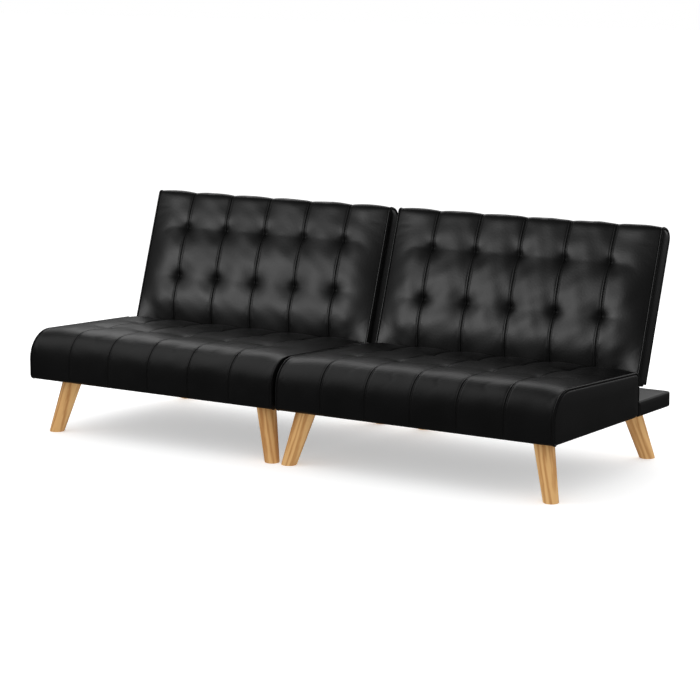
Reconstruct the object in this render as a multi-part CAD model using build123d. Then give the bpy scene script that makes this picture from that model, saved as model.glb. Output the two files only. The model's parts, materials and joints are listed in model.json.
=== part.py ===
from build123d import *

import os
from math import cos, hypot, radians, sin

# Split futon sofa bed: two free-standing armless modules side by side, in millimetres.
# +X runs along the sofa, +Y runs from the seat's front to the back, +Z is up.
# The origin is on the floor, between the modules, at the middle of the overall depth.
# Each module is drawn about its own middle, with y = 0 at its seat's front face.

# ---- driving dimensions -------------------------------------------------------------
module_width = 990.0
module_gap = 12.0
base_bottom = 175.0            # underside of the upholstered base
base_depth = 755.0             # seat front to the rear of the ledge
seat_depth = 538.0             # seat front to the rear of the seat cushion
seat_front_height = 337.0      # top line of the seat, carried on to the front face
seat_rear_height = 316.0       # top of the seat at its rear edge
waterfall_radius = 92.0        # rounded front edge of the seat
seat_rear_radius = 25.0
front_edge_radius = 16.0       # lower front edge of the seat, and of the rails behind it
front_wadding = 4.0            # room for wadding between the cover and the front rail

rail_height = 32.0
rail_width = 28.0
deck_thickness = 9.0
mid_rail_y = 300.0
block_margin = 44.0            # from a leg's centre to the edge of its corner block

cover_thickness = 2.0          # leather on the seat and back
side_padding = 8.0             # padded side panel
edge_step = 6.0                # the side panel's outline, inside the main outline
piping_radius = 4.0
ledge_padding = 8.0            # padded cover of the ledge
ledge_side_inset = 2.0
ledge_edge_radius = 6.0

recline_from_upright = 17.97   # the back's lean at rest, degrees
hinge_y = 590.0
hinge_z = 270.0
back_side_inset = 9.0          # each side of the back, inside the seat's side
back_length = 497.0
back_below_hinge = 10.0
back_front_offset = 46.0       # hinge axis to the back's front face
back_thickness = 58.0
back_front_radius = 12.0
back_rear_radius = 35.0
back_frame_depth = 22.0
stile_width = 40.0
back_rail_height = 40.0
lower_rail_offset = 28.0       # hinge axis to the lower edge of the bottom rail

channel_count = 6
channel_pitch = 163.0
seat_tuft_rows = (215.0, 385.0)
back_tuft_rows = (190.0, 355.0)    # from the hinge axis, along the back
seat_tuft_depth = 6.0
seat_tuft_radius = 36.0
back_tuft_depth = 14.0
back_tuft_radius = 45.0
button_radius = 6.0
button_thickness = 3.0

leg_top_radius = 31.5
leg_foot_radius = 23.5
leg_splay = 45.0               # sideways, from the leg's top to its foot
front_leg_rake = 33.0
rear_leg_rake = 42.0
front_foot_y = 37.0
rear_foot_y = 754.0
front_foot_inset = 26.0
rear_foot_inset = 78.0
far_foot_inset = 80.0          # front foot at the left end of the sofa
leg_foot_chamfer = 1.5
leg_plate_thickness = 3.0
leg_plate_margin = 8.0         # from a plate screw's centre to the plate's edge
leg_screw_clearance = 6.7      # from the leg's edge to a plate screw's centre
leg_stud_radius = 4.0
leg_stud_length = 32.0
dust_cover_thickness = 1.0
dust_cover_clearance = 0.5

plate_thickness = 4.0          # hinge plates and arms
plate_gap = 0.5                # between a seat plate and the arm or pawl beside it
hinge_pin_radius = 5.0
hinge_pin_clearance = 0.05
pin_head_radius = 8.0
pin_head_height = 3.0
ear_radius = 14.0
plate_front = 25.0             # seat plate's foot, in front of the hinge axis
plate_rear = 45.0              # and behind it
flange_width = 36.0
sector_radius = 20.0
arm_length = 112.0
pocket_size = 23.0             # room for the sector inside the back
pocket_width = 16.0
notch_radius = 3.4
notch_angles = (0.0, 36.0, 72.0)   # upright, lounge and flat
pawl_pin_radius = 3.5
pawl_pin_offset = (24.0, -32.0)    # from the hinge axis
pawl_hub_radius = 7.0
pawl_nose_radius = 3.0
pawl_nose_angle = -75.0
pawl_clearance = 0.4               # nose to the sector's teeth

screw_head_radius = 4.0
screw_head_height = 1.5
screw_shank_radius = 2.0
plate_screw_length = 18.0
arm_screw_length = 22.0
arm_screw_places = (80.0, 100.0)
flange_screw_length = 20.0
flange_screw_places = (-16.0, 10.0, 36.0)
stub = 1.0                     # how far a cutting shape runs past what it cuts

# ---- what follows from them ---------------------------------------------------------
seat_cover_half = module_width / 2 - side_padding
frame_half = seat_cover_half - cover_thickness
deck_top = base_bottom + rail_height + deck_thickness
ledge_top = deck_top + ledge_padding
frame_front = cover_thickness + front_wadding
frame_rear = base_depth - ledge_padding
side_rail_inner = frame_half - rail_width

back_half = module_width / 2 - back_side_inset
back_cover_half = back_half - side_padding
back_frame_half = back_cover_half - cover_thickness
stile_inner = back_frame_half - stile_width
back_top = back_length - back_below_hinge
back_rear_offset = back_front_offset - back_thickness
frame_rear_offset = back_rear_offset + cover_thickness
frame_front_offset = frame_rear_offset + back_frame_depth
frame_top = back_top - back_rear_radius

arm_outer = stile_inner
arm_inner = arm_outer - plate_thickness
ear_outer = arm_inner - plate_gap
ear_inner = ear_outer - plate_thickness

leg_plate_bottom = base_bottom - leg_plate_thickness
plate_screw_offset = (leg_top_radius + leg_screw_clearance) / 2**0.5
leg_plate_size = 2 * (plate_screw_offset + leg_plate_margin)
module_offset = (module_width + module_gap) / 2
depth_middle = (rear_foot_y + leg_foot_radius - piping_radius / 2) / 2

lean = radians(recline_from_upright)
back_up = (sin(lean), cos(lean))            # along the back, in Y and Z
back_out = (-cos(lean), sin(lean))          # out of its front face

seat_corners = (
    (0, base_bottom),
    (0, seat_front_height),
    (seat_depth, seat_rear_height),
    (seat_depth, base_bottom),
)
seat_radii = (front_edge_radius, waterfall_radius, seat_rear_radius, 0)
rail_radii = (front_edge_radius, 0, 0, 0)
back_radii = (0, back_front_radius, back_rear_radius, 0)


# ---- drawing helpers ----------------------------------------------------------------
def back_point(out, up):
    """A point in Y and Z from its distance in front of the hinge axis and along the back."""
    return (
        hinge_y + out * back_out[0] + up * back_up[0],
        hinge_z + out * back_out[1] + up * back_up[1],
    )


def back_box(out_low, out_high, up_low, up_high):
    """A rectangle's corners in the back's own directions."""
    return [
        back_point(out_high, up_low),
        back_point(out_high, up_high),
        back_point(out_low, up_high),
        back_point(out_low, up_low),
    ]


def flat_box(y_low, y_high, z_low, z_high):
    return [(y_low, z_low), (y_low, z_high), (y_high, z_high), (y_high, z_low)]


def inset_corners(corners, inset):
    """A clockwise outline's corners, with every side moved inwards."""
    moved = []
    count = len(corners)
    for i, (y, z) in enumerate(corners):
        before, after = corners[i - 1], corners[(i + 1) % count]
        a = unit(y - before[0], z - before[1])
        b = unit(after[0] - y, after[1] - z)
        turn = a[0] * b[1] - a[1] * b[0]
        along = inset * (1 - a[0] * b[0] - a[1] * b[1]) / turn
        moved.append((y + inset * a[1] + along * a[0], z - inset * a[0] + along * a[1]))
    return moved


def unit(y, z):
    size = hypot(y, z)
    return (y / size, z / size)


def prism(corners, x_low, x_high, radii=None, inset=0.0):
    """A solid with an outline in Y and Z, from one X to another."""
    points = [(x_low, y, z) for y, z in inset_corners(corners, inset)]
    if radii:
        line = FilletPolyline(*points, radius=[max(r - inset, 0) for r in radii], close=True)
    else:
        line = Polyline(*points, close=True)
    return extrude(make_face(line.edges()), amount=x_high - x_low, dir=(1, 0, 0))


def rod(x_low, x_high, y, z, radius):
    """A round bar along X."""
    plane = Plane(origin=(x_low, y, z), z_dir=(1, 0, 0))
    return extrude(plane * Circle(radius), amount=x_high - x_low)


def both_sides(shape):
    return [shape, mirror(shape, about=Plane.YZ)]


def screw(plane, length):
    """A screw's head above the plane, and its shank below."""
    head = extrude(plane * Circle(screw_head_radius), amount=screw_head_height)
    return head + shank(plane, length)


def shank(plane, length, radius=screw_shank_radius):
    return extrude(plane * Circle(radius), amount=-length)


def bead(corners, radii, start, end, x):
    """Piping that follows an outline's step at one side, open at the bottom."""
    inset = edge_step - piping_radius
    points = inset_corners(corners, inset)
    last = between(points[3], points[2], end)
    if radii[0]:
        turns = points[:3]
        first = between(points[0], points[3], radii[0])
    else:
        turns = points[1:3]
        first = between(points[0], points[1], start)
    line = [(x, y, z) for y, z in (first, *turns, last)]
    path = FilletPolyline(*line, radius=[r - inset for r in radii[3 - len(turns) : 3]])
    section = Plane(origin=path @ 0, z_dir=path % 0) * Circle(piping_radius)
    return sweep(section, path=path)


def between(low, high, distance):
    direction = unit(high[0] - low[0], high[1] - low[1])
    return (low[0] + distance * direction[0], low[1] + distance * direction[1])


# ---- tufts: where the buttons pull the cushions in ------------------------------------
def tuft_columns():
    seams = channel_count - 1
    return [channel_pitch * (i - (seams - 1) / 2) for i in range(seams)]


def seat_tuft_planes():
    slope = (seat_rear_height - seat_front_height) / seat_depth
    return [
        Plane(origin=(x, y, seat_front_height + slope * y), z_dir=(0, -slope, 1))
        for y in seat_tuft_rows
        for x in tuft_columns()
    ]


def back_tuft_planes():
    return [
        Plane(origin=(x, *back_point(back_front_offset, up)), z_dir=(0, *back_out))
        for up in back_tuft_rows
        for x in tuft_columns()
    ]


def dimple_sphere_radius(depth, radius):
    return (radius**2 + depth**2) / (2 * depth)


def dimples(planes, depth, radius, skin=0.0):
    """Ball shapes that press a dimple into a flat face, or into what lies under a skin."""
    ball = dimple_sphere_radius(depth, radius)
    return [plane * Pos(0, 0, ball - depth) * Sphere(ball + skin) for plane in planes]


def buttons(planes, depth, radius):
    """Covered buttons, each resting on its rim at the bottom of a dimple."""
    ball = dimple_sphere_radius(depth, radius)
    rim = ball - depth - (ball**2 - button_radius**2) ** 0.5
    disc = Pos(0, 0, rim + button_thickness / 2) * Cylinder(button_radius, button_thickness)
    disc = fillet(disc.edges().group_by(Axis.Z)[-1], button_thickness * 0.4)
    return [plane * disc for plane in planes]


# ---- wooden base -----------------------------------------------------------------------
def side_rails(cuts):
    low, high = base_bottom, base_bottom + rail_height
    box = flat_box(frame_front, frame_rear, low, high)
    rails = both_sides(prism(box, side_rail_inner, frame_half, rail_radii))
    return [rail - cuts for rail in rails]


def cross_rails(cuts):
    middles = (
        frame_front + rail_width / 2,
        mid_rail_y,
        hinge_y,
        frame_rear - rail_width / 2,
    )
    rails = []
    for y in middles:
        box = flat_box(
            y - rail_width / 2, y + rail_width / 2, base_bottom, base_bottom + rail_height
        )
        radii = None if rails else rail_radii
        rails.append(prism(box, -side_rail_inner, side_rail_inner, radii) - cuts)
    return rails


def leg_places(outer_front_inset, outer_side):
    """Each leg's name, side, foot inset, foot and top, in the module's own frame."""
    places = []
    for name, side in (("left", -1), ("right", 1)):
        front_inset = outer_front_inset if side == outer_side else front_foot_inset
        front = (front_foot_y, front_foot_y + front_leg_rake)
        rear = (rear_foot_y, rear_foot_y - rear_leg_rake)
        for row, inset, (foot_y, top_y) in (
            ("front", front_inset, front),
            ("rear", rear_foot_inset, rear),
        ):
            foot_x = side * (module_width / 2 - inset)
            top_x = side * (module_width / 2 - inset - leg_splay)
            places.append((f"{row}_{name}_leg", row, side, (foot_x, foot_y), (top_x, top_y)))
    return places


def corner_block(row, side, top, cuts):
    """The block that a leg is fixed under, in the corner between two rails."""
    inner = abs(top[0]) - block_margin
    if row == "front":
        y_low, y_high = frame_front + rail_width, top[1] + block_margin
    else:
        y_low, y_high = top[1] - block_margin, frame_rear - rail_width
    box = flat_box(y_low, y_high, base_bottom, base_bottom + rail_height)
    ends = sorted((side * inner, side * side_rail_inner))
    return prism(box, *ends) - cuts


def leg_axis(foot, top):
    start, end = Vector(*foot, 0), Vector(*top, leg_plate_bottom)
    return start, end, (end - start).normalized()


def leg(foot, top):
    """A tapered round leg, cut level at the floor and under its plate, with a stud hole."""
    start, end, along = leg_axis(foot, top)
    length = (end - start).length
    taper = (leg_top_radius - leg_foot_radius) / length
    spare = 2 * leg_top_radius
    whole = Plane(origin=start - along * spare, z_dir=along) * Solid.make_cone(
        leg_foot_radius - taper * spare, leg_top_radius + taper * spare, length + 2 * spare
    )
    slab = Pos(*((start + end) / 2)) * Box(6 * spare, 6 * spare, leg_plate_bottom)
    level = whole & slab
    level = chamfer(level.edges().group_by(Axis.Z)[0], leg_foot_chamfer)
    hole = Plane(origin=end, z_dir=along) * Circle(leg_stud_radius)
    return level - extrude(hole, amount=leg_stud_length, both=True)


def leg_plate(foot, top):
    """A square plate with a slanted threaded stud, and its four screw holes."""
    start, end, along = leg_axis(foot, top)
    middle = leg_plate_bottom + leg_plate_thickness / 2
    plate = Pos(*top, middle) * Box(leg_plate_size, leg_plate_size, leg_plate_thickness)
    plane = Plane(origin=end, z_dir=along)
    stud = extrude(plane * Circle(leg_stud_radius), amount=-leg_stud_length)
    reach = extrude(plane * Circle(leg_stud_radius), amount=leg_plate_thickness / 2)
    return plate + stud + reach - [shank(p, plate_screw_length) for p in plate_screw_planes(top)]


def plate_screw_planes(top):
    offsets = (-plate_screw_offset, plate_screw_offset)
    return [
        Plane(origin=(top[0] + x, top[1] + y, leg_plate_bottom), z_dir=(0, 0, -1))
        for x in offsets
        for y in offsets
    ]


def dust_cover(places):
    top = base_bottom
    front = frame_front + front_edge_radius
    box = flat_box(front, frame_rear, top - dust_cover_thickness, top)
    sheet = prism(box, -frame_half, frame_half)
    hole = leg_plate_size + 2 * dust_cover_clearance
    holes = [Pos(*place[4], top) * Box(hole, hole, 4 * dust_cover_thickness) for place in places]
    return sheet - holes


# ---- seat ---------------------------------------------------------------------------------
def seat_cavity(radii=seat_radii):
    planes = seat_tuft_planes()
    inside = prism(seat_corners, -frame_half, frame_half, radii, cover_thickness)
    return inside - dimples(planes, seat_tuft_depth, seat_tuft_radius, cover_thickness)


def above_deck():
    box = flat_box(-stub, base_depth, deck_top, 2 * seat_front_height)
    return prism(box, -module_width, module_width)


def seat_foam():
    return seat_cavity() & above_deck()


def seat_cover():
    """Leather over the foam, with padded side panels, open below and behind the frame."""
    outer = prism(seat_corners, -seat_cover_half, seat_cover_half, seat_radii)
    panel = prism(seat_corners, seat_cover_half, module_width / 2, seat_radii, edge_step)
    below = flat_box(frame_front, seat_depth + stub, base_bottom - stub, deck_top)
    frame_room = prism(below, -frame_half, frame_half)
    skin = outer - dimples(seat_tuft_planes(), seat_tuft_depth, seat_tuft_radius)
    return skin - seat_cavity() - frame_room + both_sides(panel)


def seat_piping():
    x = module_width / 2 - piping_radius
    rear_start = ledge_top - base_bottom
    return both_sides(bead(seat_corners, seat_radii, 0, rear_start, x))


def ledge_cover(cuts):
    half = module_width / 2 - ledge_side_inset
    outer = prism(flat_box(seat_depth, base_depth, base_bottom, ledge_top), -half, half)
    top_edges = outer.edges().group_by(Axis.Z)[-1].filter_by(Axis.Y)
    rear_edges = outer.edges().group_by(Axis.Y)[-1].group_by(Axis.Z)[1:]
    rounded = fillet(top_edges + [e for group in rear_edges for e in group], ledge_edge_radius)
    inner = prism(flat_box(seat_depth - stub, frame_rear, 0, deck_top), -frame_half, frame_half)
    return rounded - inner - cuts


# ---- back -----------------------------------------------------------------------------------
def back_corners():
    return back_box(back_rear_offset, back_front_offset, -back_below_hinge, back_top)


def hinge_pockets():
    """Room in the back's bottom edge for the hinges, open below and behind."""
    box = back_box(
        back_rear_offset - stub, pocket_size, -back_below_hinge - stub, pocket_size
    )
    return both_sides(prism(box, stile_inner - pocket_width, stile_inner))


def back_cavity():
    inside = prism(back_corners(), -back_frame_half, back_frame_half, back_radii, cover_thickness)
    dips = dimples(back_tuft_planes(), back_tuft_depth, back_tuft_radius, cover_thickness)
    return inside - dips


def back_foam():
    lowest = cover_thickness - back_below_hinge
    box = back_box(frame_rear_offset, frame_front_offset, lowest - stub, frame_top)
    frame_room = prism(box, -back_frame_half, back_frame_half)
    return back_cavity() - frame_room - hinge_pockets()


def back_cover():
    """Leather all round the back, with padded side panels and the hinge pockets."""
    outer = prism(back_corners(), -back_cover_half, back_cover_half, back_radii)
    skin = outer - dimples(back_tuft_planes(), back_tuft_depth, back_tuft_radius)
    panel = prism(back_corners(), back_cover_half, back_half, back_radii, edge_step)
    return skin - back_cavity() - hinge_pockets() + both_sides(panel)


def back_piping():
    x = back_half - piping_radius
    return both_sides(bead(back_corners(), back_radii, edge_step, edge_step, x))


def back_stiles(cuts):
    lowest = cover_thickness - back_below_hinge
    box = back_box(frame_rear_offset, frame_front_offset, lowest, frame_top)
    return both_sides(prism(box, stile_inner, back_frame_half) - cuts)


def back_rails():
    """Bottom rail between the hinge arms, and middle and top rails between the stiles."""
    places = (
        (lower_rail_offset, arm_inner),
        ((lower_rail_offset + frame_top - back_rail_height) / 2, stile_inner),
        (frame_top - back_rail_height, stile_inner),
    )
    rails = []
    for low, half in places:
        box = back_box(frame_rear_offset, frame_front_offset, low, low + back_rail_height)
        rails.append(prism(box, -half, half))
    return rails


# ---- hinges -----------------------------------------------------------------------------------
def around_hinge(reach, turn=0.0):
    """A place about the hinge axis towards the pawl's nose, turned with the back."""
    angle = radians(pawl_nose_angle + turn)
    return (hinge_y + reach * cos(angle), hinge_z + reach * sin(angle))


def hinge_arm():
    """A flat arm on the stile, with a notched sector about the hinge axis."""
    bar = back_box(frame_rear_offset, frame_front_offset, 0, arm_length)
    sector = rod(arm_inner, arm_outer, hinge_y, hinge_z, sector_radius)
    arm = prism(bar, arm_inner, arm_outer) + sector
    notches = [
        rod(arm_inner - stub, arm_outer + stub, *around_hinge(sector_radius, turn), notch_radius)
        for turn in notch_angles
    ]
    hole = rod(
        arm_inner - stub,
        arm_outer + stub,
        hinge_y,
        hinge_z,
        hinge_pin_radius + hinge_pin_clearance,
    )
    return arm - notches - hole - [shank(p, arm_screw_length) for p in arm_screw_planes()]


def arm_screw_planes():
    middle = (frame_rear_offset + frame_front_offset) / 2
    return [
        Plane(origin=(arm_inner, *back_point(middle, up)), z_dir=(-1, 0, 0))
        for up in arm_screw_places
    ]


def pawl_pin_place():
    return (hinge_y + pawl_pin_offset[0], hinge_z + pawl_pin_offset[1])


def hinge_seat_plate():
    """An angle plate that stands on the ledge and holds the hinge and pawl pins."""
    foot = flat_box(
        hinge_y - plate_front, hinge_y + plate_rear, ledge_top, ledge_top + plate_thickness
    )
    flange = prism(foot, ear_inner - flange_width, ear_outer)
    hub = rod(ear_inner, ear_outer, hinge_y, hinge_z, ear_radius)
    shoulder = ledge_top + plate_thickness
    web_corners = [
        (hinge_y - plate_front, ledge_top),
        (hinge_y - plate_front, shoulder),
        (hinge_y - ear_radius, hinge_z),
        (hinge_y + ear_radius, hinge_z),
        (pawl_pin_place()[0] + pawl_hub_radius, pawl_pin_place()[1] + pawl_hub_radius),
        (hinge_y + plate_rear, shoulder),
        (hinge_y + plate_rear, ledge_top),
    ]
    web = prism(web_corners, ear_inner, ear_outer)
    pins = [
        rod(ear_inner - stub, ear_outer + stub, hinge_y, hinge_z, hinge_pin_radius),
        rod(ear_inner - stub, ear_outer + stub, *pawl_pin_place(), pawl_pin_radius),
    ]
    screws = [shank(p, flange_screw_length) for p in flange_screw_planes()]
    return flange + web + hub - pins - screws


def flange_screw_planes():
    x = ear_inner - flange_width / 2
    return [
        Plane(origin=(x, hinge_y + place, ledge_top + plate_thickness), z_dir=(0, 0, 1))
        for place in flange_screw_places
    ]


def hinge_pins():
    """The hinge pin, which ends at the stile, and the smaller pin of the pawl."""
    head_end = ear_inner - pin_head_height
    main = rod(ear_inner, arm_outer - plate_gap, hinge_y, hinge_z, hinge_pin_radius)
    main += rod(head_end, ear_inner, hinge_y, hinge_z, pin_head_radius)
    small = rod(ear_inner, arm_outer + plate_gap, *pawl_pin_place(), pawl_pin_radius)
    small += rod(head_end, ear_inner, *pawl_pin_place(), pawl_hub_radius - stub)
    return both_sides(main) + both_sides(small)


def hinge_pawl():
    """A lever on its own pin, its nose just clear of the sector's teeth."""
    pin = pawl_pin_place()
    nose = around_hinge(sector_radius + pawl_clearance + pawl_nose_radius)
    along = (nose[0] - pin[0], nose[1] - pin[1])
    nose_circle = Pos(hypot(*along), 0) * Circle(pawl_nose_radius)
    shape = make_hull((Circle(pawl_hub_radius) + nose_circle).edges())
    plane = Plane(origin=(arm_inner, *pin), x_dir=(0, *along), z_dir=(1, 0, 0))
    body = extrude(plane * shape, amount=plate_thickness)
    hole_radius = pawl_pin_radius + hinge_pin_clearance
    return body - rod(arm_inner - stub, arm_outer + stub, *pin, hole_radius)


# ---- one module, and both in their places ---------------------------------------------------
def module(outer_front_inset, outer_side):
    """Every node of one module, in the module's own frame."""
    places = leg_places(outer_front_inset, outer_side)
    tops = [place[4] for place in places]
    plate_cuts = [shank(p, plate_screw_length) for top in tops for p in plate_screw_planes(top)]
    stud_cuts = [leg_axis(*place[3:]) for place in places]
    stud_holes = [
        extrude(Plane(origin=end, z_dir=along) * Circle(leg_stud_radius), amount=leg_stud_length)
        for _, end, along in stud_cuts
    ]
    flange_planes = flange_screw_planes()
    flange_cuts = [
        cut for p in flange_planes for cut in both_sides(shank(p, flange_screw_length))
    ]
    arm_cuts = [shank(p, arm_screw_length) for p in arm_screw_planes()]
    board_low, board_high = deck_top - deck_thickness, deck_top
    deck = flat_box(frame_front, seat_depth, board_low, board_high)
    board = flat_box(seat_depth, frame_rear, board_low, board_high)
    nodes = {
        "base_side_rails": side_rails(plate_cuts),
        "base_cross_rails": cross_rails(plate_cuts),
        "corner_blocks": [
            corner_block(row, side, top, plate_cuts) for _, row, side, _, top in places
        ],
        "seat_deck": [prism(deck, -frame_half, frame_half)],
        "ledge_board": [prism(board, -frame_half, frame_half) - flange_cuts],
        "seat_foam": [seat_foam()],
        "seat_cover": [seat_cover()],
        "seat_piping": seat_piping(),
        "seat_buttons": buttons(seat_tuft_planes(), seat_tuft_depth, seat_tuft_radius),
        "ledge_cover": [ledge_cover(flange_cuts)],
        "dust_cover": [dust_cover(places)],
        "leg_plates": [leg_plate(foot, top) for *_, foot, top in places],
        "leg_plate_screws": [
            screw(p, plate_screw_length) for top in tops for p in plate_screw_planes(top)
        ],
        "hinge_seat_plates": both_sides(hinge_seat_plate()),
        "hinge_pins": hinge_pins(),
        "hinge_plate_screws": [
            s for p in flange_planes for s in both_sides(screw(p, flange_screw_length))
        ],
        "hinge_pawls": both_sides(hinge_pawl()),
        "hinge_arms": both_sides(hinge_arm()),
        "hinge_arm_screws": [
            s for p in arm_screw_planes() for s in both_sides(screw(p, arm_screw_length))
        ],
        "back_stiles": back_stiles(arm_cuts),
        "back_rails": back_rails(),
        "back_foam": [back_foam()],
        "back_cover": [back_cover()],
        "back_piping": back_piping(),
        "back_buttons": buttons(back_tuft_planes(), back_tuft_depth, back_tuft_radius),
    }
    for name, _, _, foot, top in places:
        nodes[name] = [leg(foot, top)]
    return nodes


def write(name, shapes, place):
    solids = [place * solid for shape in shapes for solid in shape.solids()]
    export_step(solids[0] if len(solids) == 1 else Compound(children=solids), name)


os.makedirs("parts", exist_ok=True)
modules = (
    ("left", -module_offset, far_foot_inset, -1),
    ("right", module_offset, front_foot_inset, 1),
)
for side_name, offset, front_inset, outer_side in modules:
    place = Pos(offset, -depth_middle, 0)
    for node, shapes in module(front_inset, outer_side).items():
        write(f"parts/{side_name}_{node}.step", shapes, place)
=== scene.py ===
import json
import math

import bpy
import numpy as np
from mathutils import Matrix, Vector


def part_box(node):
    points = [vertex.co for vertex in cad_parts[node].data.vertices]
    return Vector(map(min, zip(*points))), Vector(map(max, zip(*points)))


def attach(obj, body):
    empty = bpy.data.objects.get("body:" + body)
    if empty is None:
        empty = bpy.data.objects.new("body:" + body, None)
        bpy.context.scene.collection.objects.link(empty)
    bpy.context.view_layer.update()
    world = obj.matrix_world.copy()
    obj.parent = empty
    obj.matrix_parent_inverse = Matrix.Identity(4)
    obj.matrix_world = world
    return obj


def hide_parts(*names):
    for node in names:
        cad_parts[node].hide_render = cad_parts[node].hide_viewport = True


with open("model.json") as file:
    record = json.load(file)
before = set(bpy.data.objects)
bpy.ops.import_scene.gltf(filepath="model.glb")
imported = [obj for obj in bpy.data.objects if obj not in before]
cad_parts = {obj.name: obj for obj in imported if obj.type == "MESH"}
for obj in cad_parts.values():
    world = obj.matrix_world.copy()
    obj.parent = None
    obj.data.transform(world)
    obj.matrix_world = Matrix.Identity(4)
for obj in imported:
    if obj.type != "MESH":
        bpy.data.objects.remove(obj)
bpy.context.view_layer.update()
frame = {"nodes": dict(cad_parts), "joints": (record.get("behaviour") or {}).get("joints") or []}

# Everything is in metres. A cushion is drawn about its module's middle, x = 0.
SIDES = ("left", "right")

# ---- camera and room --------------------------------------------------------------------
camera_azimuth = math.radians(33.8)
camera_elevation = math.radians(9.69)
camera_distance = 7.895
camera_aim = Vector((0.08, -0.078, 0.33))
camera_lens = 127.3
floor_reach = 30.0
floor_glow = 0.42
key_towards = Vector((-0.55, -0.76, 0.26))
key_angle = math.radians(16)
key_energy = 0.65

# ---- upholstery -------------------------------------------------------------------------
channels = 6
side_padding = 0.008           # the piping's step at each side of a cushion
edge_step = 0.006              # a side panel's outline, inside the cushion's own
panel_bulge = 0.0025
skirt_radius = 0.0115          # where the leather turns under a cushion's bottom edge
front_edge_radius = 0.016      # and under the seat's front edge
wrap_depth = 0.0012            # the leather under the base rails
row_spacing = 0.009
hidden_spacing = 0.02
swell_frames = 20
swell_pressure = 4.0
seam_depth = 0.0021
seam_width = 0.0017
stitch_offset = 0.0065         # topstitching beside each seam
stitch_depth = 0.0007
stitch_width = 0.0012
seam_columns = (0.0012, 0.0024, 0.004, 0.0055, 0.0065, 0.0075, 0.010, 0.0135, 0.018)

seat_front_rise = 0.162        # the seat's top line over its base, at the front
seat_rear_rise = 0.141         # and at the rear
waterfall_radius = 0.092
seat_rear_radius = 0.025
seat_crown = 0.010
seat_row_depth = 0.002
seat_tuft_depth = 0.008
seat_swell_limit = 0.022

button_radius = 0.006
tuft_button_radius = 0.0045
tuft_button_sides = 18
cushion_fill = 0.8
ledge_fill = 0.9
ledge_radii = (0.0075, 0.0075, 0.008, 0.0075)
ledge_edge_radius = 0.007
ledge_swell = 0.002
turned_in = 0.028              # leather turned in under the base

back_lean = math.radians(17.97)
back_length = 0.497
back_below_hinge = 0.010
back_front_offset = 0.046      # hinge axis to the back's front face
back_thickness = 0.058
back_front_radius = 0.012
back_rear_radius = 0.035
back_crown = 0.019
back_tuck = 0.020              # the back's face draws in at its foot
tuck_reach = 0.10
back_row_depth = 0.0015
back_tuft_depth = 0.019
back_swell_limit = 0.022
pocket_inner = 0.420           # hinge pockets, from the module's middle
pocket_outer = 0.436
pocket_size = 0.023            # in front of the hinge axis and above it


# ---- camera, floor and lights -----------------------------------------------------------
def make_camera():
    data = bpy.data.cameras.new("camera")
    data.lens = camera_lens
    data.sensor_width = 36.0
    data.clip_end = 100.0
    camera = bpy.data.objects.new("camera", data)
    away = Vector(
        (
            math.sin(camera_azimuth) * math.cos(camera_elevation),
            -math.cos(camera_azimuth) * math.cos(camera_elevation),
            math.sin(camera_elevation),
        )
    )
    camera.location = camera_aim + camera_distance * away
    camera.rotation_euler = away.to_track_quat("Z", "Y").to_euler()
    bpy.context.collection.objects.link(camera)
    bpy.context.scene.camera = camera


def make_floor():
    mesh = bpy.data.meshes.new("floor")
    size = floor_reach
    corners = [(-size, -size, 0), (size, -size, 0), (size, size, 0), (-size, size, 0)]
    mesh.from_pydata(corners, [], [(0, 1, 2, 3)])
    floor = bpy.data.objects.new("floor", mesh)
    bpy.context.collection.objects.link(floor)
    material = new_material("floor_paint")
    shader = material.node_tree.nodes["Principled BSDF"]
    shader.inputs["Base Color"].default_value = (0.93, 0.93, 0.93, 1)
    shader.inputs["Roughness"].default_value = 0.9
    shader.inputs["Specular IOR Level"].default_value = 0.1
    shader.inputs["Emission Color"].default_value = (1, 1, 1, 1)
    shader.inputs["Emission Strength"].default_value = floor_glow
    mesh.materials.append(material)
    floor.visible_glossy = floor.visible_diffuse = False


def area_light(name, place, aim, size, power):
    data = bpy.data.lights.new(name, "AREA")
    data.shape = "RECTANGLE"
    data.size, data.size_y = size
    data.energy = power
    light = bpy.data.objects.new(name, data)
    light.location = place
    light.visible_camera = False
    light.rotation_euler = (Vector(place) - Vector(aim)).to_track_quat("Z", "Y").to_euler()
    bpy.context.collection.objects.link(light)
    return light


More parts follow.
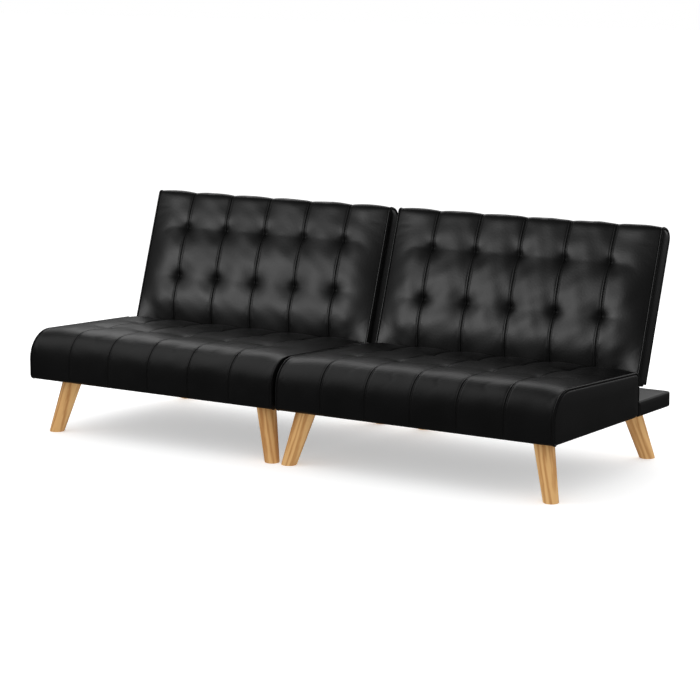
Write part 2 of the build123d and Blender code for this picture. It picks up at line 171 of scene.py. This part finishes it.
def make_lights():
    """Soft studio lights. The key falls on the backs alone, and the top light misses them."""
    world = bpy.data.worlds.new("room")
    world.use_nodes = True
    tree = world.node_tree
    rays = tree.nodes.new("ShaderNodeLightPath")
    strength = None
    for ray, amount in (("Is Camera Ray", 1.0), ("Is Diffuse Ray", 0.8), ("Is Glossy Ray", 0.055)):
        part = tree.nodes.new("ShaderNodeMath")
        part.operation = "MULTIPLY_ADD"
        part.inputs[1].default_value = amount
        part.inputs[2].default_value = 0
        tree.links.new(rays.outputs[ray], part.inputs[0])
        if strength:
            tree.links.new(strength, part.inputs[2])
        strength = part.outputs[0]
    background = tree.nodes["Background"]
    background.inputs[0].default_value = (1, 1, 1, 1)
    tree.links.new(strength, background.inputs[1])
    world.cycles.sampling_method = "NONE"
    bpy.context.scene.world = world
    area_light("rear", (-1.0, 2.2, 2.2), (0, -0.2, 0.35), (4.4, 2.0), 38)
    top = area_light("top", (-1.9, -1.3, 2.8), (0, -0.3, 0.3), (3.0, 3.0), 19)
    flagged = bpy.data.collections.new("top_flagged")
    top.light_linking.receiver_collection = flagged
    area_light("behind", (2.4, 3.4, 1.4), (0.3, 0.2, 0.4), (2.6, 1.8), 13)
    key = bpy.data.lights.new("key", "SUN")
    key.energy = key_energy
    key.angle = key_angle
    light = bpy.data.objects.new("key", key)
    light.rotation_euler = key_towards.to_track_quat("Z", "Y").to_euler()
    bpy.context.collection.objects.link(light)
    receivers = bpy.data.collections.new("key_receivers")
    light.light_linking.receiver_collection = receivers
    bpy.context.scene.view_settings.view_transform = "Standard"
    return receivers, flagged


# ---- materials --------------------------------------------------------------------------
def new_material(name):
    material = bpy.data.materials.new(name)
    material.use_nodes = True
    return material


def node(tree, kind, **inputs):
    """A shader node with its named inputs set: a number or colour, or a socket to join."""
    made = tree.nodes.new(kind)
    for key, value in inputs.items():
        socket = made.inputs[key.replace("_", " ")]
        if isinstance(value, bpy.types.NodeSocket):
            tree.links.new(value, socket)
        else:
            socket.default_value = value
    return made


def ramp(tree, factor, low, high, start=0.0, end=1.0):
    made = tree.nodes.new("ShaderNodeValToRGB")
    made.color_ramp.elements[0].position = start
    made.color_ramp.elements[0].color = (*low, 1)
    made.color_ramp.elements[1].position = end
    made.color_ramp.elements[1].color = (*high, 1)
    tree.links.new(factor, made.inputs["Fac"])
    return made.outputs["Color"]


def spread(tree, factor, low, high):
    made = tree.nodes.new("ShaderNodeMapRange")
    made.inputs["To Min"].default_value = low
    made.inputs["To Max"].default_value = high
    tree.links.new(factor, made.inputs["Value"])
    return made.outputs["Result"]


def coordinates(tree):
    return tree.nodes.new("ShaderNodeTexCoord").outputs["Object"]


def leather(name, grain=0.0011, depth=0.00007, dark=0.0025, light=0.0038, rough=(0.36, 0.46)):
    """Black faux leather: a fine pebble grain with pores, and slight changes of tone and sheen."""
    material = new_material(name)
    tree = material.node_tree
    shader = tree.nodes["Principled BSDF"]
    place = coordinates(tree)
    cells = node(tree, "ShaderNodeTexVoronoi", Vector=place, Scale=1 / grain)
    cells.feature = "SMOOTH_F1"
    cells.inputs["Smoothness"].default_value = 0.35
    wrinkle = node(tree, "ShaderNodeTexNoise", Vector=place, Scale=160.0, Detail=4.0)
    broad = node(tree, "ShaderNodeTexNoise", Vector=place, Scale=7.0, Detail=3.0)
    tone = ramp(tree, broad.outputs["Fac"], (dark,) * 3, (light, light, light * 1.06), 0.35, 0.65)
    tree.links.new(tone, shader.inputs["Base Color"])
    tree.links.new(spread(tree, broad.outputs["Fac"], *rough), shader.inputs["Roughness"])
    coarse = node(
        tree,
        "ShaderNodeBump",
        Strength=0.35,
        Distance=0.0006,
        Height=wrinkle.outputs["Fac"],
    )
    fine = node(
        tree,
        "ShaderNodeBump",
        Strength=0.5,
        Distance=depth,
        Height=cells.outputs["Distance"],
        Normal=coarse.outputs["Normal"],
    )
    tree.links.new(fine.outputs["Normal"], shader.inputs["Normal"])
    shader.inputs["Specular IOR Level"].default_value = 0.5
    return material


def wood(name, axis_start, axis_end, pale=(0.84, 0.50, 0.20), deep=(0.55, 0.26, 0.08)):
    """Light lacquered wood with its grain along one axis."""
    material = new_material(name)
    tree = material.node_tree
    shader = tree.nodes["Principled BSDF"]
    along = (Vector(axis_end) - Vector(axis_start)).normalized()
    turn = along.rotation_difference(Vector((0, 0, 1))).to_euler()
    place = node(
        tree,
        "ShaderNodeMapping",
        Vector=coordinates(tree),
        Rotation=turn,
        Location=Vector(axis_start) * 3.7,
    ).outputs["Vector"]
    stretched = node(tree, "ShaderNodeMapping", Vector=place, Scale=(1.0, 1.0, 0.09))
    stretched = stretched.outputs["Vector"]
    bend = node(tree, "ShaderNodeTexNoise", Vector=stretched, Scale=14.0, Detail=2.0)
    rings = node(
        tree,
        "ShaderNodeTexWave",
        Vector=stretched,
        Scale=17.0,
        Distortion=11.0,
        Detail=3.0,
    )
    rings.inputs["Detail Scale"].default_value = 1.4
    fibres = node(tree, "ShaderNodeTexNoise", Vector=stretched, Scale=420.0, Detail=5.0)
    mixed = node(tree, "ShaderNodeMix")
    mixed.data_type = "FLOAT"
    mixed.inputs["Factor"].default_value = 0.45
    tree.links.new(rings.outputs["Fac"], mixed.inputs["A"])
    tree.links.new(fibres.outputs["Fac"], mixed.inputs["B"])
    colour = ramp(tree, mixed.outputs["Result"], deep, pale, 0.15, 0.65)
    tint = ramp(tree, bend.outputs["Fac"], (0.72, 0.62, 0.52), (1, 1, 1), 0.35, 0.6)
    product = tree.nodes.new("ShaderNodeMix")
    product.data_type = "RGBA"
    product.blend_type = "MULTIPLY"
    product.inputs["Factor"].default_value = 0.6
    tree.links.new(colour, product.inputs["A"])
    tree.links.new(tint, product.inputs["B"])
    tree.links.new(product.outputs["Result"], shader.inputs["Base Color"])
    tree.links.new(spread(tree, fibres.outputs["Fac"], 0.48, 0.66), shader.inputs["Roughness"])
    shader.inputs["Specular IOR Level"].default_value = 0.3
    bump = node(
        tree, "ShaderNodeBump", Strength=0.25, Distance=0.0003, Height=fibres.outputs["Fac"]
    )
    tree.links.new(bump.outputs["Normal"], shader.inputs["Normal"])
    return material


def steel(name):
    """Dark zinc-plated steel, slightly mottled."""
    material = new_material(name)
    tree = material.node_tree
    shader = tree.nodes["Principled BSDF"]
    mottle = node(tree, "ShaderNodeTexNoise", Vector=coordinates(tree), Scale=90.0, Detail=4.0)
    tone = ramp(tree, mottle.outputs["Fac"], (0.16, 0.16, 0.17), (0.3, 0.3, 0.31), 0.3, 0.7)
    tree.links.new(tone, shader.inputs["Base Color"])
    tree.links.new(spread(tree, mottle.outputs["Fac"], 0.3, 0.5), shader.inputs["Roughness"])
    shader.inputs["Metallic"].default_value = 1.0
    return material


def lining(name):
    """Black non-woven cloth under the base."""
    material = new_material(name)
    tree = material.node_tree
    shader = tree.nodes["Principled BSDF"]
    place = coordinates(tree)
    dots = node(tree, "ShaderNodeTexVoronoi", Vector=place, Scale=600.0)
    fuzz = node(tree, "ShaderNodeTexNoise", Vector=place, Scale=900.0, Detail=3.0)
    tone = ramp(tree, fuzz.outputs["Fac"], (0.012,) * 3, (0.03,) * 3, 0.3, 0.7)
    tree.links.new(tone, shader.inputs["Base Color"])
    bump = node(
        tree, "ShaderNodeBump", Strength=0.5, Distance=0.0003, Height=dots.outputs["Distance"]
    )
    tree.links.new(bump.outputs["Normal"], shader.inputs["Normal"])
    shader.inputs["Roughness"].default_value = 0.9
    return material


# ---- outlines ---------------------------------------------------------------------------
class Outline:
    """Points round a clockwise outline in Y and Z with rounded corners.

    places and outward are the points and their normals, s is the length up to each point,
    and corners holds the lengths where each corner's arc starts and ends."""

    def __init__(self, corners, radii, spacings):
        corners = [np.array(c, float) for c in corners]
        arcs = [self.arc(corners, radii, i) for i in range(len(corners))]
        places, outward, marks = [], [], []
        for i, (start, end, middle) in enumerate(arcs):
            turns = max(4, round(radii[i] * math.pi / 2 / min(spacings[i], row_spacing)))
            first, last = start - middle, end - middle
            angle = math.atan2(first[1], first[0])
            sweep = math.atan2(last[1], last[0]) - angle
            sweep = (sweep + math.pi) % (2 * math.pi) - math.pi
            marks.append((len(places), len(places) + turns))
            for k in range(turns):
                direction = angle + sweep * k / turns
                normal = np.array((math.cos(direction), math.sin(direction)))
                places.append(middle + radii[i] * normal)
                outward.append(normal)
            run = arcs[(i + 1) % len(arcs)][0] - end
            steps = max(1, round(np.linalg.norm(run) / spacings[i]))
            normal = np.array((-run[1], run[0])) / np.linalg.norm(run)
            for k in range(steps):
                places.append(end + run * k / steps)
                outward.append(normal)
        self.places, self.outward = np.array(places), np.array(outward)
        gaps = np.linalg.norm(np.diff(self.places, axis=0), axis=1)
        self.s = np.concatenate(([0], np.cumsum(gaps)))
        self.corners = [(self.s[a], self.s[b]) for a, b in marks]

    @staticmethod
    def arc(corners, radii, i):
        """Where a corner's arc starts and ends, and its middle."""
        a = corners[i - 1] - corners[i]
        b = corners[(i + 1) % len(corners)] - corners[i]
        a, b = a / np.linalg.norm(a), b / np.linalg.norm(b)
        half = math.acos(np.clip(a @ b, -1, 1)) / 2
        reach = radii[i] / math.tan(half)
        middle = corners[i] + (a + b) / np.linalg.norm(a + b) * radii[i] / math.sin(half)
        return corners[i] + a * reach, corners[i] + b * reach, middle

    def nearest(self, place):
        """The length at the point nearest to a place in Y and Z."""
        return self.s[np.argmin(np.linalg.norm(self.places - np.array(place), axis=1))]


def columns(seams, half):
    """X places across a cushion, close together beside each seam."""
    near = [0, *seam_columns]
    edges = [-half, *seams, half]
    places = set()
    for low, high in zip(edges, edges[1:]):
        middle = (high - low) / 2
        count = max(1, round((middle - near[-1]) / row_spacing))
        inner = [near[-1] + (middle - near[-1]) * k / count for k in range(1, count + 1)]
        for offset in near + inner:
            places.add(round(low + offset, 6))
            places.add(round(high - offset, 6))
    return np.array(sorted(places))


def bell(distance, width):
    return np.exp(-((distance / width) ** 2))


def ease(s, low, high):
    t = np.clip((s - low) / (high - low), 0, 1)
    return t * t * (3 - 2 * t)


def pillows(x, seams, half):
    """The rounded height of the channels, nought at the seams and one between them."""
    edges = np.array([-half, *seams, half])
    index = np.clip(np.searchsorted(edges, x) - 1, 0, len(edges) - 2)
    low, high = edges[index], edges[index + 1]
    q = np.clip(1 - np.abs(2 * (x - low) / (high - low) - 1), 0, 1)
    return (1 - (1 - q) ** 2) ** 0.8


def tuft_dip(dx, ds, depth):
    """A tuft pulls the leather in to a point, with pleats that run out from it."""
    r = np.hypot(dx, ds * 1.1)
    dip = depth * (0.62 * np.exp(-r / 0.009) + 0.38 * np.exp(-r / 0.03))
    angle = np.arctan2(ds, dx)
    pleats = np.zeros_like(r)
    for centre, width, weight in (
        (0.0, 0.14, 0.7),
        (math.pi, 0.14, 1.0),
        (0.75, 0.2, 0.3),
        (-0.8, 0.2, 0.4),
        (2.3, 0.2, 0.4),
        (-2.4, 0.2, 0.3),
    ):
        away = np.abs((angle - centre + np.pi) % (2 * np.pi) - np.pi)
        pleats += weight * bell(away, width)
    fold = 0.22 * depth * pleats * np.exp(-r / 0.022) * (1 - np.exp(-r / 0.006))
    return dip + fold


def uneven(x, s, seed):
    """Slow ripples of about one unit from a fixed seed, that break up a perfect surface."""
    draw = np.random.default_rng(seed)
    total = np.zeros_like(x)
    for _ in range(14):
        angle, phase = draw.uniform(0, 2 * math.pi, 2)
        length = draw.uniform(0.05, 0.22)
        wave = (x * math.cos(angle) + s * math.sin(angle)) / length
        total += np.sin(2 * math.pi * wave + phase) / 5
    return total


# ---- cushions ---------------------------------------------------------------------------
def link(name, verts, faces):
    mesh = bpy.data.meshes.new(name)
    mesh.from_pydata(verts, [], faces)
    mesh.update()
    piece = bpy.data.objects.new(name, mesh)
    bpy.context.collection.objects.link(piece)
    return piece


def closed_cushion(name, line, xs, height, middle, caps, half, medial, bulge, moved=None):
    """A closed cushion: a band over its outline, stepped edges and padded side panels.

    caps holds (x, inset) for each ring of an edge, and medial the two ends of the line that
    a side panel closes to. moved is how far the simulation moved each point of the band."""
    places, outward = line.places, line.outward
    if moved is None:
        moved = np.zeros((len(xs), len(places), 3))
    low, high = (np.array(end) for end in medial)
    run = high - low
    rings = []

    def end_cap(side):
        made = [(side * x, places - outward * inset) for x, inset in caps]
        edge = made[-1][1]
        t = np.clip(((edge - low) @ run) / (run @ run), 0, 1)
        target = low + t[:, None] * run
        for k in (0.12, 0.26, 0.42, 0.58):
            out = bulge * math.sin(math.pi / 2 * min(1, k * 1.6))
            made.append((side * (half + out), edge + (target - edge) * k))
        return made

    rings += reversed(end_cap(-1))
    for i, x in enumerate(xs):
        band = places + outward * height[i][:, None] + moved[i][:, 1:]
        rings.append((x + moved[i][:, 0], band))
    rings += end_cap(1)
    verts = [
        (middle + across, y, z)
        for x, points in rings
        for across, (y, z) in zip(np.broadcast_to(x, len(points)), points)
    ]
    count = len(places)
    faces = ladder(0, count, False)
    for a in range(len(rings) - 1):
        for k in range(count):
            m = (k + 1) % count
            first, second = a * count, (a + 1) * count
            faces.append((first + k, second + k, second + m, first + m))
    faces += ladder((len(rings) - 1) * count, count, True)
    return link(name, verts, faces)


def ladder(first, count, reverse):
    """Faces that fill a ring of points, in strips from one side to the other."""
    faces = []
    for k in range((count - 1) // 2):
        a, b = first + k, first + k + 1
        c, d = first + count - 2 - k, first + count - 1 - k
        face = (a, b, d) if b == c else (a, b, c, d)
        faces.append(tuple(reversed(face)) if reverse else face)
    return faces


def apply_modifiers(piece):
    graph = bpy.context.evaluated_depsgraph_get()
    mesh = bpy.data.meshes.new_from_object(piece.evaluated_get(graph))
    old = piece.data
    piece.modifiers.clear()
    piece.data = mesh
    bpy.data.meshes.remove(old)
    mesh.name = piece.name


def smooth(piece, levels=1):
    modifier = piece.modifiers.new("smooth", "SUBSURF")
    modifier.levels = modifier.render_levels = levels
    apply_modifiers(piece)
    for polygon in piece.data.polygons:
        polygon.use_smooth = True


def swell(line, xs, seams, half, height, caps, medial, pinned, limit):
    """Blow a closed copy of a cushion up with Cloth, and give how far each point moved.

    The copy has only the columns that are not crowded beside a seam. Its seams, tufts,
    edges and hidden faces are pinned, and no point moves further than limit."""
    crowded = {round(e + sign * c, 6) for e in (-half, *seams, half) for c in seam_columns[:4]
               for sign in (-1, 1)}
    crowded |= {round(e + sign * c, 6) for e in (-half, *seams, half) for c in seam_columns[5:7]
                for sign in (-1, 1)}
    kept = np.array([round(x, 6) not in crowded for x in xs])
    piece = closed_cushion(
        "swelling", line, xs[kept], height[kept], 0, caps, half, medial, panel_bulge
    )
    count, first = len(line.places), len(caps) + 4
    band = slice(first * count, (first + kept.sum()) * count)
    pins = np.ones(len(piece.data.vertices), bool)
    pins[band] = pinned[kept].ravel()
    group = piece.vertex_groups.new(name="pins")
    group.add(np.flatnonzero(pins).tolist(), 1.0, "REPLACE")
    cloth = piece.modifiers.new("cloth", "CLOTH")
    cloth.settings.quality = 5
    cloth.settings.mass = 0.3
    cloth.settings.tension_stiffness = 15
    cloth.settings.compression_stiffness = 15
    cloth.settings.shear_stiffness = 5
    cloth.settings.bending_stiffness = 0.5
    cloth.settings.use_pressure = True
    cloth.settings.uniform_pressure_force = swell_pressure
    cloth.settings.shrink_min = cloth.settings.shrink_max = -0.001
    cloth.settings.vertex_group_mass = "pins"
    cloth.settings.effector_weights.gravity = 0
    cloth.collision_settings.use_collision = False
    cloth.point_cache.frame_start, cloth.point_cache.frame_end = 1, swell_frames
    before = positions(piece.data)
    scene = bpy.context.scene
    for moment in range(1, swell_frames + 1):
        scene.frame_set(moment)
    apply_modifiers(piece)
    moved = (positions(piece.data) - before)[band].reshape(kept.sum(), count, 3)
    scene.frame_set(1)
    bpy.data.objects.remove(piece)
    size = np.linalg.norm(moved, axis=2, keepdims=True)
    moved = moved * limit * np.tanh(size / limit) / np.maximum(size, 1e-9)
    result = np.empty((len(xs), count, 3))
    for k in range(count):
        for axis in range(3):
            result[:, k, axis] = np.interp(xs, xs[kept], moved[:, k, axis])
    return result


def positions(mesh):
    flat = np.empty(len(mesh.vertices) * 3)
    mesh.vertices.foreach_get("co", flat)
    return flat.reshape(-1, 3)


def tuft_places(buttons, middle):
    """The tufts' columns about the module's middle, and each row's place in Y and Z."""
    low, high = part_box(buttons)
    xs = np.linspace(low.x + button_radius, high.x - button_radius, channels - 1) - middle
    verts = np.array([v.co for v in frame["nodes"][buttons].data.vertices])
    along = verts[:, 1]
    split = (along.min() + along.max()) / 2
    rows = [verts[along < split], verts[along >= split]]
    return xs, [(row[:, 1:].min(0) + row[:, 1:].max(0)) / 2 for row in rows]


def seams_and_stitches(x, seams):
    """How deep the seams and the topstitching beside them are drawn in."""
    away = np.abs(x[:, None] - np.array(seams)[None, :]).min(1)
    return seam_depth * bell(away, seam_width) + stitch_depth * bell(
        away - stitch_offset, stitch_width
    )


def edge_steps(half):
    """The rings of a cushion's edge: a groove for the piping, then the side panel."""
    start = half - side_padding
    return [
        (start, 0.003),
        (start + 0.0006, edge_step),
        (half - 0.003, edge_step + 0.0003),
        (half - 0.0008, edge_step + 0.0015),
        (half, edge_step + 0.004),
    ]


def arch(s, low, high):
    """A rounded rise between two places, nought at and beyond them."""
    t = np.clip(2 * (s - low) / (high - low) - 1, -1, 1)
    return 1 - np.abs(t) ** 2.2


def upholster(side, part, line, dips, crown, shown, sewn, limit, seed, medial, scallop):
    """A tufted cushion: crowned, pulled in at its tufts, swollen by Cloth, then sewn."""
    name = f"{side}_{part}"
    low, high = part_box(f"{name}_cover")
    middle, half = (low.x + high.x) / 2, (high.x - low.x) / 2
    seams, rows = tuft_places(f"{name}_buttons", middle)
    band_half = half - side_padding
    xs = columns(seams, band_half)
    x, s = np.meshgrid(xs, line.s, indexing="ij")
    shown, sewn, crown = shown(s), sewn(s), crown(s)
    row_s = [line.nearest(row) for row in rows]
    inward = ease(band_half - np.abs(x), 0, 0.1)
    tuft_depth, row_depth = dips
    rise, place, width = scallop
    height = crown * inward + rise * pillows(x, seams, band_half) * bell(s - place, width)
    for tuft_s in row_s:
        height -= row_depth * bell(s - tuft_s, 0.03) * inward
        for tuft_x in seams:
            height -= tuft_dip(x - tuft_x, s - tuft_s, tuft_depth) * shown
    away = np.abs(x[..., None] - np.array(seams)).min(-1)
    pinned = (away < 1e-5) & (sewn > 0.3) | (shown < 0.2) | (band_half - np.abs(x) < 1e-5)
    for tuft_s in row_s:
        pinned |= (away < 0.008) & (np.abs(s - tuft_s) < 0.008)
    caps = edge_steps(half)
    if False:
        swollen[part] = None
    elif part not in swollen:
        swollen[part] = swell(line, xs, seams, band_half, height, caps, medial, pinned, limit)
    height -= seams_and_stitches(xs, seams)[:, None] * sewn
    height += 0.0007 * uneven(x, s, seed) * shown * inward
    return name, closed_cushion(
        name, line, xs, height, middle, caps, half, medial, panel_bulge, swollen[part]
    )


swollen = {}


def make_seat(side, seed):
    low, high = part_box(f"{side}_seat_cover")
    base = low.z - wrap_depth
    corners = [
        (low.y, base),
        (low.y, low.z + seat_front_rise),
        (high.y, low.z + seat_rear_rise),
        (high.y, base),
    ]
    radii = (front_edge_radius, waterfall_radius, seat_rear_radius, skirt_radius)
    spacings = (row_spacing, row_spacing, row_spacing, hidden_spacing)
    line = Outline(corners, radii, spacings)
    bottom, rear = line.corners[0][1], line.corners[2][0]
    top_start = line.corners[1][1]

    def shown(s):
        return ease(s, bottom - 0.01, bottom + 0.05) * (1 - ease(s, rear - 0.02, rear + 0.05))

    def sewn(s):
        return ease(s, 0, bottom) * (1 - ease(s, rear, rear + 0.06))

    def crown(s):
        return seat_crown * arch(s, top_start - 0.1, rear + 0.02)

    medial = ((low.y + 0.09, low.z + 0.07), (high.y - 0.07, low.z + 0.07))
    dips = seat_tuft_depth, seat_row_depth
    scallop = (0.007, rear - 0.02, 0.05)
    return upholster(
        side, "seat", line, dips, crown, shown, sewn, seat_swell_limit, seed, medial, scallop
    )


def make_back(side, seed):
    up = np.array((math.sin(back_lean), math.cos(back_lean)))
    out = np.array((-up[1], up[0]))
    pivot = hinge_place(side)
    front, rear = back_front_offset, back_front_offset - back_thickness
    top, bottom = back_length - back_below_hinge, -back_below_hinge
    corners = [
        pivot + out * across + up * along
        for across, along in ((front, bottom), (front, top), (rear, top), (rear, bottom))
    ]
    radii = (skirt_radius, back_front_radius, back_rear_radius, skirt_radius)
    spacings = (row_spacing, row_spacing, hidden_spacing, hidden_spacing)
    line = Outline(corners, radii, spacings)
    start, crest, end = line.corners[0][1], line.corners[1][0], line.corners[2][1]

    def shown(s):
        return ease(s, start - 0.005, start + 0.03) * (1 - ease(s, crest, end + 0.03))

    def crown(s):
        tuck = back_tuck * (1 - ease(s, start, start + tuck_reach))
        return back_crown * arch(s, start, crest + 0.01) - tuck

    inner = (front + rear) / 2
    medial = tuple(pivot + out * inner + up * along for along in (bottom + 0.03, top - 0.03))
    dips = back_tuft_depth, back_row_depth
    scallop = (0.0065, crest, 0.03)
    return upholster(
        side, "back", line, dips, crown, shown, shown, back_swell_limit, seed, medial, scallop
    )


def hinge_place(side):
    hinge = next(j for j in frame["joints"] if j["name"] == f"{side}_back_recline")
    return np.array(hinge["pos_m"][1:])


def make_ledge(side):
    name = f"{side}_ledge"
    low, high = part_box(f"{side}_ledge_cover")
    middle, half = (low.x + high.x) / 2, (high.x - low.x) / 2
    base = low.z - wrap_depth
    corners = [(low.y, base), (low.y, high.z), (high.y, high.z), (high.y, base)]
    line = Outline(corners, ledge_radii, (0.012,) * 4)
    radius = ledge_edge_radius
    turn = [math.radians(18 * k) for k in range(1, 6)]
    caps = [(half - radius * (1 - math.sin(a)), radius * (1 - math.cos(a))) for a in turn]
    xs = np.linspace(-(half - radius), half - radius, 80)
    x, s = np.meshgrid(xs, line.s, indexing="ij")
    top = line.corners[1][1], line.corners[2][0]
    swell = ease(s, *top[:1], top[0] + 0.04) * (1 - ease(s, top[1] - 0.04, top[1]))
    height = ledge_swell * swell * ease(half - np.abs(x), 0, 0.06)
    height += 0.0003 * uneven(x, s, 5) * swell
    medial = ((low.y + 0.02, low.z + 0.024), (high.y - 0.02, low.z + 0.024))
    return name, closed_cushion(name, line, xs, height, middle, caps, half, medial, 0.001)


def make_tufts(side, part, normal, sink):
    """Small covered buttons, each a dome at the bottom of its tuft."""
    buttons = f"{side}_{part}_buttons"
    seams, rows = tuft_places(buttons, 0)
    normal = Vector((0, *normal))
    across = Vector((1, 0, 0))
    along = normal.cross(across)
    verts, faces = [], []
    profile = [(0.62, -0.0012), (1.0, -0.0006), (0.96, 0.0004), (0.75, 0.0012), (0.4, 0.0017)]
    turns = tuft_button_sides
    for row in rows:
        for x in seams:
            middle = Vector((x, *row)) - normal * sink
            first = len(verts)
            for share, rise in profile:
                for k in range(turns):
                    angle = 2 * math.pi * k / turns
                    rim = across * math.cos(angle) + along * math.sin(angle)
                    verts.append(middle + rim * share * tuft_button_radius + normal * rise)
            verts.append(middle + normal * 0.0018)
            for ring in range(len(profile) - 1):
                for k in range(turns):
                    m = (k + 1) % turns
                    a, b = first + ring * turns, first + (ring + 1) * turns
                    faces.append((a + k, a + m, b + m, b + k))
            top = first + (len(profile) - 1) * turns
            faces += [(top + k, top + (k + 1) % turns, len(verts) - 1) for k in range(turns)]
            faces.append(tuple(first + k for k in reversed(range(turns))))
    return link(f"{side}_{part}_tufts", [tuple(v) for v in verts], faces)


def cut_pockets(piece, side):
    """Room for the hinges in the back's bottom edge, open below and behind."""
    up = np.array((math.sin(back_lean), math.cos(back_lean)))
    out = np.array((-up[1], up[0]))
    pivot = hinge_place(side)
    low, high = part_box(f"{side}_back_cover")
    middle = (low.x + high.x) / 2
    rear, bottom = back_front_offset - back_thickness - 0.02, -back_below_hinge - 0.02
    verts, faces = [], []
    for sign in (-1, 1):
        first = len(verts)
        for x in sorted((sign * pocket_inner, sign * pocket_outer)):
            for across, along in (
                (rear, bottom),
                (pocket_size, bottom),
                (pocket_size, pocket_size),
                (rear, pocket_size),
            ):
                verts.append((middle + x, *(pivot + out * across + up * along)))
        for face in ((0, 1, 2, 3), (7, 6, 5, 4), (0, 4, 5, 1), (1, 5, 6, 2), (2, 6, 7, 3),
                     (3, 7, 4, 0)):
            faces.append(tuple(first + k for k in face))
    cutter = link("cutter", verts, faces)
    modifier = piece.modifiers.new("pockets", "BOOLEAN")
    modifier.object = cutter
    modifier.operation = "DIFFERENCE"
    modifier.solver = "EXACT"
    apply_modifiers(piece)
    bpy.data.objects.remove(cutter)
    for polygon in piece.data.polygons:
        polygon.use_smooth = True


def line_underside(piece, cloth):
    """Lining on the flat faces under the base, inside a border of turned-in leather."""
    mesh = piece.data
    mesh.materials.append(cloth)
    places = positions(mesh)
    low, high = places.min(0), places.max(0)
    for polygon in mesh.polygons:
        middle = polygon.center
        inside = min(middle.x - low[0], high[0] - middle.x, middle.y - front_of_base)
        if polygon.normal.z < -0.99 and middle.z < low[2] + 0.001 and inside > turned_in:
            polygon.material_index = 1


# ---- the whole sofa -----------------------------------------------------------------------
def leg_line(node_name):
    """The middle of a leg's foot and of its top."""
    verts = np.array([v.co for v in frame["nodes"][node_name].data.vertices])
    low, high = verts[:, 2].min(), verts[:, 2].max()
    ends = [verts[np.abs(verts[:, 2] - z) < 0.0005] for z in (low, high)]
    return [tuple((end.min(0) + end.max(0)) / 2) for end in ends]


def paint(node_name, material):
    slots = frame["nodes"][node_name].material_slots
    for held in slots:
        held.material = material


make_camera()
make_floor()
key_receivers, top_flagged = make_lights()
cover = leather("leather")
welt = leather("piping_leather", rough=(0.3, 0.4))
zinc = steel("zinc_steel")
cloth = lining("dust_cover_cloth")
pine = wood("pine", (0, 0, 0), (1, 0.02, 0.01), (0.62, 0.42, 0.24), (0.45, 0.27, 0.13))
front_of_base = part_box("left_seat_cover")[0].y
for number, side in enumerate(SIDES):
    seat_name, seat = make_seat(side, 11 + number)
    back_name, back = make_back(side, 21 + number)
    ledge_name, ledge = make_ledge(side)
    for piece, body, fill, nodes in (
        (seat, f"{side}_base", cushion_fill, ("seat_cover", "seat_foam")),
        (back, f"{side}_back", cushion_fill, ("back_cover", "back_foam")),
        (ledge, f"{side}_base", ledge_fill, ("ledge_cover",)),
    ):
        smooth(piece)
        piece.data.materials.append(cover)
        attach(piece, body)
        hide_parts(*(f"{side}_{node_name}" for node_name in nodes))
    cut_pockets(back, side)
    for lit in (back, frame["nodes"][f"{side}_back_piping"]):
        key_receivers.objects.link(lit)
        top_flagged.objects.link(lit)
    line_underside(seat, cloth)
    line_underside(ledge, cloth)
    facing = (-math.cos(back_lean), math.sin(back_lean))
    for part, body, normal, sink in (
        ("seat", f"{side}_base", (0, 1), 0.002),
        ("back", f"{side}_back", facing, 0.004),
    ):
        tufts = make_tufts(side, part, normal, sink)
        tufts.data.materials.append(welt)
        for polygon in tufts.data.polygons:
            polygon.use_smooth = True
        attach(tufts, body)
        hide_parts(f"{side}_{part}_buttons")
        paint(f"{side}_{part}_piping", welt)
    for node_name in frame["nodes"]:
        if node_name.startswith(side):
            if "hinge" in node_name or "leg_plate" in node_name:
                paint(node_name, zinc)
            elif node_name.endswith("_leg"):
                paint(node_name, wood(f"{node_name}_wood", *leg_line(node_name)))
            elif node_name.endswith("dust_cover"):
                paint(node_name, cloth)
            elif node_name.endswith(("rails", "stiles", "blocks", "board", "deck")):
                paint(node_name, pine)

for held in top_flagged.collection_objects:
    held.light_linking.link_state = "EXCLUDE"
